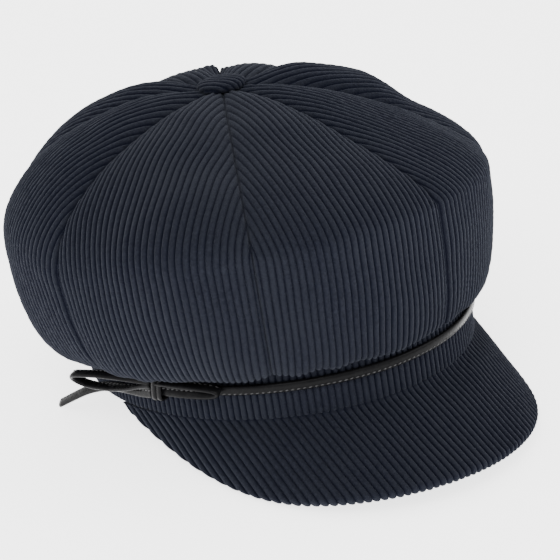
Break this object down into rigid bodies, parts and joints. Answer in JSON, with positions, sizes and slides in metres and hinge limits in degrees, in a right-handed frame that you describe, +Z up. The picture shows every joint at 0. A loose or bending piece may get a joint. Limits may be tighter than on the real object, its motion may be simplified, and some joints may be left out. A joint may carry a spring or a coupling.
{
  "type": "newsboy cap",
  "caption": "Soft panelled cap with a gathered corduroy crown, a plain band, a short drooping visor and a thin strap tied in a small bow.",
  "frame": {"origin": "on the table, under the middle of the cap without the bow's loose ends, the cap resting on its visor's corners and the back of its band", "axes": "-Y the way the wearer looks, +X the wearer's left, +Z up from the table"},
  "size_m": [0.2214, 0.2674, 0.1383],
  "materials": {
    "corduroy": "wide-wale cotton corduroy",
    "lining": "smooth taffeta",
    "interlining": "stiff buckram",
    "sweatband": "cotton twill tape",
    "board": "flexible visor board",
    "faux_leather": "smooth glossy faux leather",
    "thread": "polyester thread",
    "button_metal": "pressed tin",
    "button_plastic": "moulded nylon"
  },
  "bodies": {
    "root": {"crown_panel_1": "corduroy", "crown_panel_2": "corduroy", "crown_panel_3": "corduroy", "crown_panel_4": "corduroy", "crown_panel_5": "corduroy", "crown_panel_6": "corduroy", "crown_panel_7": "corduroy", "crown_panel_8": "corduroy", "lining_panel_1": "lining", "lining_panel_2": "lining", "lining_panel_3": "lining", "lining_panel_4": "lining", "lining_panel_5": "lining", "lining_panel_6": "lining", "lining_panel_7": "lining", "lining_panel_8": "lining", "button_cover": "corduroy", "button_shell": "button_metal", "button_shank": "button_metal", "button_washer": "button_plastic", "band_outer": "corduroy", "band_interlining": "interlining", "sweatband": "sweatband", "strap": "faux_leather", "strap_tacks": "thread", "bow_knot": "faux_leather", "bow_loop_front": "faux_leather"},
    "visor": {"visor_top_cover": "corduroy", "visor_board": "board", "visor_under_cover": "corduroy"},
    "bow_loop": {"bow_loop_back": "faux_leather"},
    "bow_tail": {"bow_tail": "faux_leather"}
  },
  "joints": [
    {"name": "visor_flex", "type": "hinge", "parent": "root", "child": "visor", "pos_m": [0.00489, -0.05614, 0.02237], "axis": [1, 0, 0], "range_deg": [-12, 8], "stiffness_Nm_per_rad": 3, "deforming": ["visor_top_cover", "visor_board", "visor_under_cover"]},
    {"name": "bow_swing", "type": "hinge", "parent": "root", "child": "bow_loop", "pos_m": [-0.07895, -0.01815, 0.03412], "axis": [0, 0.1411, 0.99], "range_deg": [0, 30], "stiffness_Nm_per_rad": 0.01},
    {"name": "tail_swing", "type": "hinge", "parent": "bow_loop", "child": "bow_tail", "pos_m": [-0.07895, -0.01865, 0.03056], "axis": [-0.9457, -0.3218, 0.0459], "range_deg": [0, 20], "stiffness_Nm_per_rad": 0.01}
  ]
}
